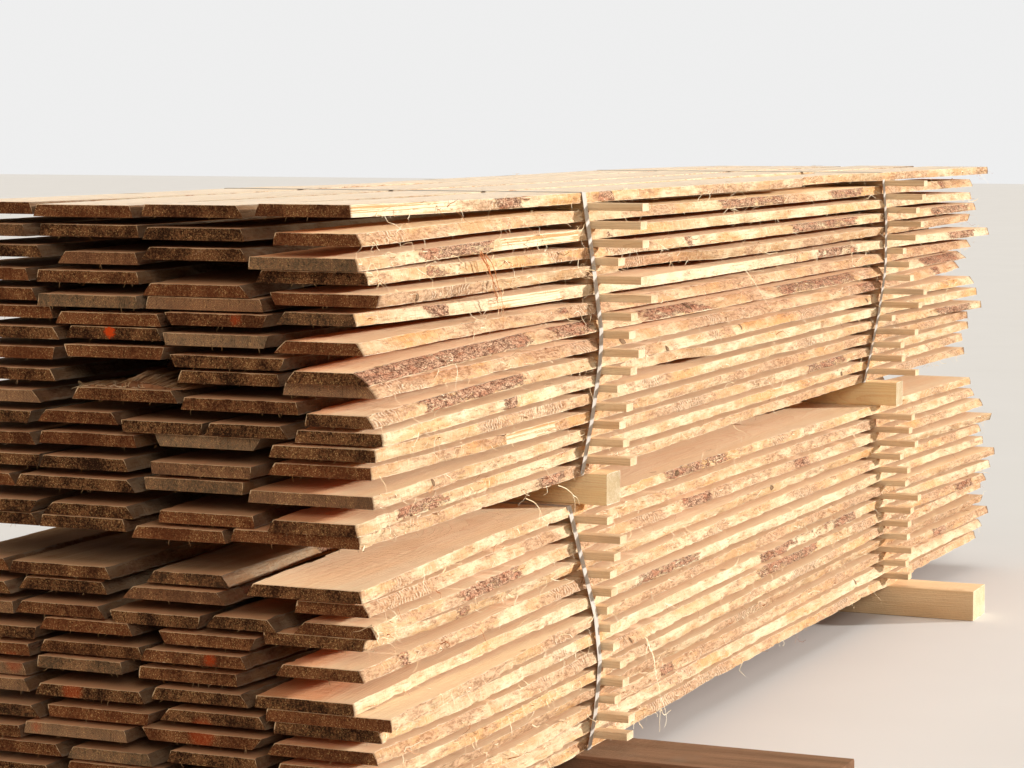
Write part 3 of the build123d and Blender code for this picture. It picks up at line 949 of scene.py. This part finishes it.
mid_face = sawn_face("middle_bearer_face", "Y", rgb(255, 234, 188), rgb(255, 220, 160),
                     rgb(230, 166, 106), rgb(218, 172, 126), 0.3, 0.7)
mid_end = end_grain("middle_bearer_end", "Y", rgb(188, 162, 124), rgb(210, 190, 158),
                    rgb(200, 174, 136), rgb(224, 206, 172), rgb(232, 222, 194))
old_face = sawn_face("old_bearer_face", "Y", rgb(138, 102, 78), rgb(104, 72, 52),
                     rgb(62, 40, 30), rgb(120, 102, 88), 0.7, 0.15)
new_face = sawn_face("new_bearer_face", "Y", rgb(255, 230, 190), rgb(244, 208, 162),
                     rgb(222, 172, 118), rgb(214, 182, 146), 0.2)
new_end = end_grain("new_bearer_end", "Y", rgb(224, 190, 150), rgb(244, 220, 184),
                    rgb(236, 206, 164), rgb(250, 232, 200), rgb(250, 236, 208))
strap_material = strap_plastic("strap_plastic")
fibre_material = bast_fibre("bast_fibre")

# Long strands of bast and splinters that hang out or lie loose, in millimetres: width, tone,
# and points along, across and up
STRANDS = {
    "L9": [
        (6.2, 0.3, (-915, -528, 330), (-905, -534, 306), (-878, -540, 262), (-872, -543, 222),
         (-852, -545, 180), (-845, -548, 150)),
        (3.4, 0.3, (-845, -548, 152), (-858, -552, 124), (-868, -553, 92), (-876, -556, 66)),
        (3.0, 0.3, (-845, -548, 152), (-826, -552, 118), (-822, -555, 90), (-838, -556, 70)),
        (2.6, 0.3, (-858, -552, 124), (-838, -556, 104), (-800, -560, 110)),
        (2.6, 0.3, (-905, -534, 306), (-938, -540, 286), (-950, -545, 262)),
    ],
    "U5": [
        (5.6, 0.98, (-1965, -522, 1380), (-1955, -534, 1352), (-1940, -540, 1318),
         (-1930, -545, 1290), (-1922, -545, 1262), (-1916, -548, 1232)),
        (7.0, 1.0, (-1978, -526, 1378), (-1972, -538, 1350), (-1958, -546, 1322),
         (-1950, -549, 1296), (-1938, -552, 1262)),
        (4.6, 0.97, (-1952, -528, 1372), (-1936, -540, 1344), (-1930, -548, 1306),
         (-1914, -552, 1272), (-1912, -554, 1240), (-1920, -556, 1206)),
        (3.4, 0.9, (-1990, -528, 1372), (-1998, -540, 1354), (-1990, -548, 1334),
         (-1972, -552, 1318)),
        (3.0, 0.3, (-120, -530, 1246), (-90, -545, 1214), (-50, -548, 1190), (10, -550, 1150),
         (70, -552, 1118)),
    ],
    "U16": [
        (2.6, 0.3, (-1700, -520, 790), (-1672, -532, 776), (-1655, -538, 756),
         (-1648, -541, 738), (-1630, -543, 728)),
        (2.0, 0.3, (-1655, -538, 756), (-1668, -541, 744), (-1672, -544, 728)),
        (2.6, 0.3, (-1500, -520, 796), (-1476, -534, 784), (-1455, -540, 768),
         (-1448, -543, 746), (-1455, -545, 722)),
        (2.0, 0.3, (-1455, -540, 768), (-1436, -544, 758), (-1424, -546, 740)),
    ],
    "U1": [
        (4.0, 0.3, (300, 350, 1498.5), (360, 380, 1499), (420, 395, 1498.8), (470, 440, 1499)),
        (4.0, 0.3, (-400, 200, 1498.5), (-340, 240, 1499), (-300, 290, 1498.8)),
        (4.5, 0.3, (1250, 150, 1498.5), (1330, 120, 1499), (1400, 140, 1499),
         (1470, 110, 1498.8)),
        (4.0, 0.3, (900, -200, 1498.5), (980, -170, 1499), (1060, -190, 1498.8)),
        (4.5, 0.3, (2000, -100, 1498.5), (2080, -60, 1499), (2140, -80, 1499),
         (2220, -20, 1498.8)),
    ],
}
STACK_TOP = 1.49            # strands above this lie flat on the stack


def add_strand(builder, rng, width, tone, *points):
    """A strand of bast through given points, smoothed and slightly kinked."""
    points = np.array(points) / 1000
    width /= 1000
    t = np.linspace(0, len(points) - 1, 5 * len(points))
    path = np.stack([smooth_interp(t, np.arange(len(points)), row) for row in points.T], -1)
    path[1:-1] += rng.normal(0, width * 0.25, path[1:-1].shape) * (1, 0.4, 0.4)
    flat = points[:, 2].min() > STACK_TOP
    add_ribbon(builder, path, width, (0, 0.2, 1) if flat else (0, -1, 0.2), tone)


# The ragged mass of torn wood that a broken board left on the end of the one below it: the
# board that carries it, places across it, and how high it stands there in front and behind
TORN_BOARD = ("U10", 2)
TORN_ACROSS = [-0.088, -0.050, -0.025, 0.026, 0.070, 0.110, 0.160]
TORN_HEIGHTS = [0.004, 0.006, 0.012, 0.030, 0.010, 0.007, 0.004]
TORN_HEIGHTS_BEHIND = [0.027, 0.029, 0.030, 0.029, 0.009, 0.005, 0.003]
TORN_BACK = -2.22
TORN_FRONT = -2.550
TORN_ROWS = 34
TORN_COLUMNS = 16
SPLINTERS = 240
TORN_CURLS = 24


def torn_height(y, t):
    """How high the torn mass stands at a place across, t of the way in from its front."""
    front = np.interp(y, TORN_ACROSS, TORN_HEIGHTS)
    behind = np.interp(y, TORN_ACROSS, TORN_HEIGHTS_BEHIND)
    return (front + (behind - front) * ramp(t, 0.0, 0.7)) * ramp(t, -0.25, 0.22)


def add_torn(builder, rng, x, top):
    """Torn wood on a board's near end: a low ridged mass, covered in splinters."""
    along = np.linspace(TORN_FRONT, TORN_BACK, TORN_COLUMNS)
    across = np.linspace(TORN_ACROSS[0], TORN_ACROSS[-1], TORN_ROWS)
    base = np.interp(along, x, top)
    t = np.linspace(0, 1, TORN_COLUMNS)
    height = torn_height(across[:, None], t[None, :])
    height = height * (0.85 + 0.3 * sheet_noise(rng, across, t, 0.012, 6)) + 0.0008
    xs = along[None, :] + 0.03 * rng.uniform(0, 1, (TORN_ROWS, 1)) * (1 - t)[None, :]
    ys = np.broadcast_to(across[:, None], xs.shape)
    low = np.stack([xs, ys, np.broadcast_to(base, xs.shape)], -1).reshape(-1, 3)
    high = np.stack([xs, ys, base + height], -1).reshape(-1, 3)
    count = len(low)
    index = np.arange(count).reshape(xs.shape)
    a = index[:-1, :-1].ravel()
    sheet = np.stack([a, a + 1, a + TORN_COLUMNS + 1, a + TORN_COLUMNS], -1)
    loop = np.concatenate([index[0, :-1], index[:-1, -1], index[-1, :0:-1], index[:0:-1, 0]])
    following = np.roll(loop, -1)
    skirt = np.stack([loop, following, following + count, loop + count], -1)
    faces = [sheet + count, sheet[:, ::-1], skirt]
    builder.add(np.concatenate([low, high]), faces, [INNER_SAWN] * sum(map(len, faces)),
                pith=(0, 0.02, base[0] - 0.05), seed=(3.0, 7.0, 5.0), tone=0.6, aged=1,
                behind=0.055, tucked=1)
    for _ in range(SPLINTERS):
        y = rng.uniform(TORN_ACROSS[0], TORN_ACROSS[-1])
        front = TORN_FRONT + min(rng.exponential(0.03), 0.16)
        t = np.linspace(0, 1, 7)
        places = np.clip(TORN_BACK + (front - TORN_BACK) * t, TORN_FRONT, TORN_BACK)
        ys = y + rng.normal(0, 0.012) * t + rng.normal(0, 0.0012, 7)
        rise = torn_height(ys, (places - TORN_FRONT) / (TORN_BACK - TORN_FRONT))
        path = np.stack([places, ys, np.interp(places, x, top) + rise * rng.uniform(0.95, 1.12)
                         + 0.0015 + rng.normal(0, 0.0010, 7)], -1)
        add_ribbon(builder, path, rng.uniform(0.003, 0.008), (0, rng.uniform(-0.8, 0.8), 1),
                   rng.uniform(0, 0.9), rng.uniform(0.75, 1.0))
    for _ in range(TORN_CURLS):
        y = rng.uniform(TORN_ACROSS[2], TORN_ACROSS[-1])
        start = (TORN_FRONT + 0.004, y, float(np.interp(TORN_FRONT, x, top)) + 0.003)
        way = (-rng.uniform(0.1, 0.5), rng.normal(0, 0.8), rng.uniform(-0.4, 0.8))
        add_ribbon(builder, curl(rng, start, way, rng.uniform(0.012, 0.04), 0.5, 0.15),
                   rng.uniform(0.0012, 0.0025), (-1, 0, 0.3), rng.uniform(0, 0.7), 0.6)


# Boards. Each bundle comes with its first seed and the width that lies open on its top layer
for bundle, layers, first_seed, above in (
        ("upper", 16, 1000, ALL_OPEN), ("lower", 14, 1100, 0.5)):
    for number in range(1, layers + 1):
        node = f"{bundle}_layer_{number:02d}"
        layer = bundle[0].upper() + str(number)
        parts = sorted(loose_parts(node), key=lambda p: p[:, 1].mean())
        rng = np.random.default_rng(first_seed + number)
        builder = Builder()
        torn = None
        styles = [RIGHT_STYLE, *[INNER_STYLE] * (len(parts) - 2), LEFT_STYLE]
        for index, (points, style) in enumerate(zip(parts, styles)):
            x, high, high_left, floor, faces = add_board(
                builder, points, rng, style, layer, above)
            if (layer, index) == TORN_BOARD:
                torn = (x, floor + THICK)
            if index == 0:
                add_fibres(builder, rng, x, faces, floor)
            add_fray(builder, rng, x[0], high[0], high_left[0], floor[0])
        for strand in STRANDS.get(layer, ()):
            add_strand(builder, rng, *strand)
        if torn:
            add_torn(builder, rng, *torn)
        above = (arris_of(parts[0], 1), arris_of(parts[-1], 2))
        piece = builder.make(f"{bundle}_boards_{number:02d}",
                             [board_face, board_edge, board_end, fibre_material, shaded_board_face])
        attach(piece, "root")
        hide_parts(node)

# Stickers and bearers: nodes, slot, step along, worn corners, dents, face and end
for nodes, slot, step, worn, wobble, face, end in (
        (("upper_stickers_near", "upper_stickers_far", "lower_stickers_near",
          "lower_stickers_far"), "sticker_wood", 0.05, 0.0012, 0.0003, sticker_face, sticker_end),
        (("mid_bearer_near", "mid_bearer_far"), "mid_bearer_wood", 0.02, 0.003, 0.0008,
         mid_face, mid_end),
        (("ground_bearer_far",), "new_bearer_wood", 0.02, 0.002, 0.0005, new_face, new_end)):
    for node in nodes:
        rng = np.random.default_rng(sum(map(ord, node)))
        builder = Builder()
        for points in sorted(loose_parts(node), key=lambda p: -p[:, 2].mean()):
            add_bar(builder, points, rng, step, worn, wobble)
        piece = builder.make(node + "_sawn", [face, face, end])
        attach(piece, "root")
        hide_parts(node)

# Solids that are shown as they are
for node, material in (("ground_bearer_near", old_face), ("upper_strap_near", strap_material),
                       ("upper_strap_far", strap_material), ("lower_strap_near", strap_material)):
    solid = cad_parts[node]
    solid.data.materials.clear()
    solid.data.materials.append(material)


# Camera, light and floor

def direction(azimuth, elevation):
    """A unit vector at an azimuth (0 is +X, 90 is +Y) and an elevation, in degrees."""
    a = math.radians(azimuth)
    e = math.radians(elevation)
    return Vector((math.cos(e) * math.cos(a), math.cos(e) * math.sin(a), math.sin(e)))


def sun(name, strength, azimuth, elevation, angle, color):
    """A sun lamp that shines from a direction."""
    data = bpy.data.lights.new(name, "SUN")
    data.energy = strength
    data.angle = math.radians(angle)
    data.color = color
    lamp = add_object(name, data)
    lamp.rotation_euler = direction(azimuth, elevation).to_track_quat("Z", "Y").to_euler()


def seen_directly(node_tree):
    """1 for rays from the camera and for those that gloss or glass sends on, otherwise 0."""
    rays = add_node(node_tree, "LightPath", {}).outputs
    seen = calc("MAXIMUM", rays["Is Camera Ray"], rays["Is Glossy Ray"])
    return calc("MAXIMUM", seen, rays["Is Transmission Ray"])


camera_data = bpy.data.cameras.new("camera")
camera_data.sensor_width = 36
camera_data.lens = FOCAL_LENGTH
camera_data.clip_end = 100
camera = add_object("camera", camera_data)
camera.location = CAMERA_PLACE
camera.rotation_euler = direction(CAMERA_YAW, CAMERA_PITCH).to_track_quat("-Z", "Y").to_euler()
bpy.context.scene.camera = camera

FLOOR_SIZE = 60
floor_mesh = bpy.data.meshes.new("floor")
floor_mesh.from_pydata([(x * FLOOR_SIZE, y * FLOOR_SIZE, 0)
                        for x, y in ((-1, -1), (1, -1), (1, 1), (-1, 1))], [], [(0, 1, 2, 3)])
floor = add_object("floor", floor_mesh)
floor_tree = Tree("floor_pale", roughness=0.9, specular=0.1)
floor_color = mix(noise(floor_tree.place(), 1.5, 2), (0.74, 0.73, 0.71), (0.78, 0.77, 0.75))
floor_tree.color = mix(seen_directly(floor_tree.node_tree), (0.34, 0.32, 0.30), floor_color)
floor_mesh.materials.append(floor_tree.finish())

# The camera sees a pale backdrop; the object is lit by a plainer and dimmer sky
WORLD_LIGHT = 0.27
WORLD_SEEN = 0.86
world = bpy.data.worlds.new("studio")
bpy.context.scene.world = world
world.use_nodes = True
background = world.node_tree.nodes["Background"].inputs
seen = seen_directly(world.node_tree)
strength = add_node(world.node_tree, "MapRange", {
    "Value": seen, "To Min": WORLD_LIGHT, "To Max": WORLD_SEEN})
connect(background["Strength"], strength.outputs["Result"])
connect(background["Color"], mix(seen, (1.0, 0.87, 0.72), (1.0, 1.0, 1.0)))

sun("key", 4.65, -57, 11.5, 2.5, (1.0, 0.99, 0.96))
sun("top", 1.02, 0, 78, 50, (1.0, 0.98, 0.96))
sun("fill", 1.0, 218, 24, 22, (1.0, 0.94, 0.86))

bpy.context.scene.view_settings.view_transform = "Standard"
